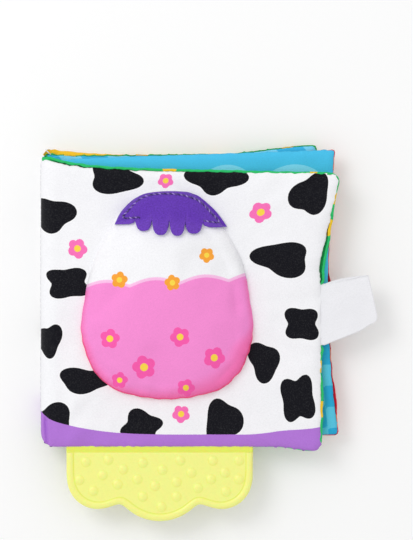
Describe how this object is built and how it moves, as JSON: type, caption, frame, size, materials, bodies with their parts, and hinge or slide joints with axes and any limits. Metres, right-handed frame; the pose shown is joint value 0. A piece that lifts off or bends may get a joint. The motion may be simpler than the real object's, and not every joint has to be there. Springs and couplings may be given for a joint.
{
  "type": "crinkle cloth book",
  "caption": "Closed padded cloth book for a baby, with a padded head on the front cover, turning leaves, a soft teether in the bottom seam and a ribbon loop in the side seam.",
  "frame": {"origin": "centre of the back cover's flat underside, on which the closed book lies", "axes": "+X from the spine to the fore-edge, +Y to the top of the page, +Z out of the front cover"},
  "size_m": [0.1792, 0.2013, 0.0331],
  "materials": {
    "white_cloth": "printed polyester cloth, slight sheen",
    "yellow_cloth": "printed polyester cloth",
    "green_cloth": "printed polyester cloth",
    "red_cloth": "printed polyester cloth",
    "blue_cloth": "printed polyester cloth",
    "wadding": "white polyester wadding",
    "film": "thin crackling film",
    "pink_cloth": "printed polyester cloth, slight sheen",
    "felt": "purple felt",
    "felt_thread": "dark purple sewing thread",
    "teether": "soft moulded elastomer, slightly translucent, satin",
    "teether_edge": "soft moulded elastomer, thin web",
    "ribbon": "white satin ribbon",
    "thread": "white sewing thread"
  },
  "bodies": {
    "back_cover": {"back_cover_outer_cloth": "white_cloth", "back_cover_wadding": "wadding", "back_cover_crinkle_film": "film", "back_cover_lining": "yellow_cloth", "spine_stitching": "thread"},
    "back_leaf": {"back_leaf_back_cloth": "green_cloth", "back_leaf_crinkle_film": "film", "back_leaf_wadding": "wadding", "back_leaf_front_cloth": "blue_cloth"},
    "front_leaf": {"front_leaf_back_cloth": "red_cloth", "front_leaf_crinkle_film": "film", "front_leaf_wadding": "wadding", "front_leaf_front_cloth": "blue_cloth"},
    "front_cover": {"front_cover_lining": "green_cloth", "front_cover_crinkle_film": "film", "front_cover_wadding": "wadding", "front_cover_outer_cloth": "white_cloth", "head_cushion_cloth": "pink_cloth", "head_cushion_filling": "wadding", "forelock_felt": "felt", "forelock_stitching": "felt_thread", "teether_flange": "teether_edge", "loop_tag_ends": "ribbon"},
    "teether": {"teether": "teether"},
    "loop_tag": {"loop_tag": "ribbon"}
  },
  "joints": [
    {"name": "turn_back_leaf", "type": "hinge", "parent": "back_cover", "child": "back_leaf", "pos_m": [-0.07465, 0, 0.0095], "axis": [0, -1, 0], "range_deg": [0, 180]},
    {"name": "turn_front_leaf", "type": "hinge", "parent": "back_leaf", "child": "front_leaf", "pos_m": [-0.07465, 0, 0.0095], "axis": [0, -1, 0], "range_deg": [0, 180]},
    {"name": "turn_front_cover", "type": "hinge", "parent": "front_leaf", "child": "front_cover", "pos_m": [-0.07465, 0, 0.0095], "axis": [0, -1, 0], "range_deg": [0, 180]},
    {"name": "teether_bend", "type": "hinge", "parent": "front_cover", "child": "teether", "pos_m": [0, -0.08425, 0.0169], "axis": [-1, 0, 0], "range_deg": [-50, 110], "stiffness_Nm_per_rad": 0.03},
    {"name": "loop_bend", "type": "hinge", "parent": "front_cover", "child": "loop_tag", "pos_m": [0.07615, -0.0126, 0.0169], "axis": [0, -1, 0], "range_deg": [0, 110]}
  ]
}
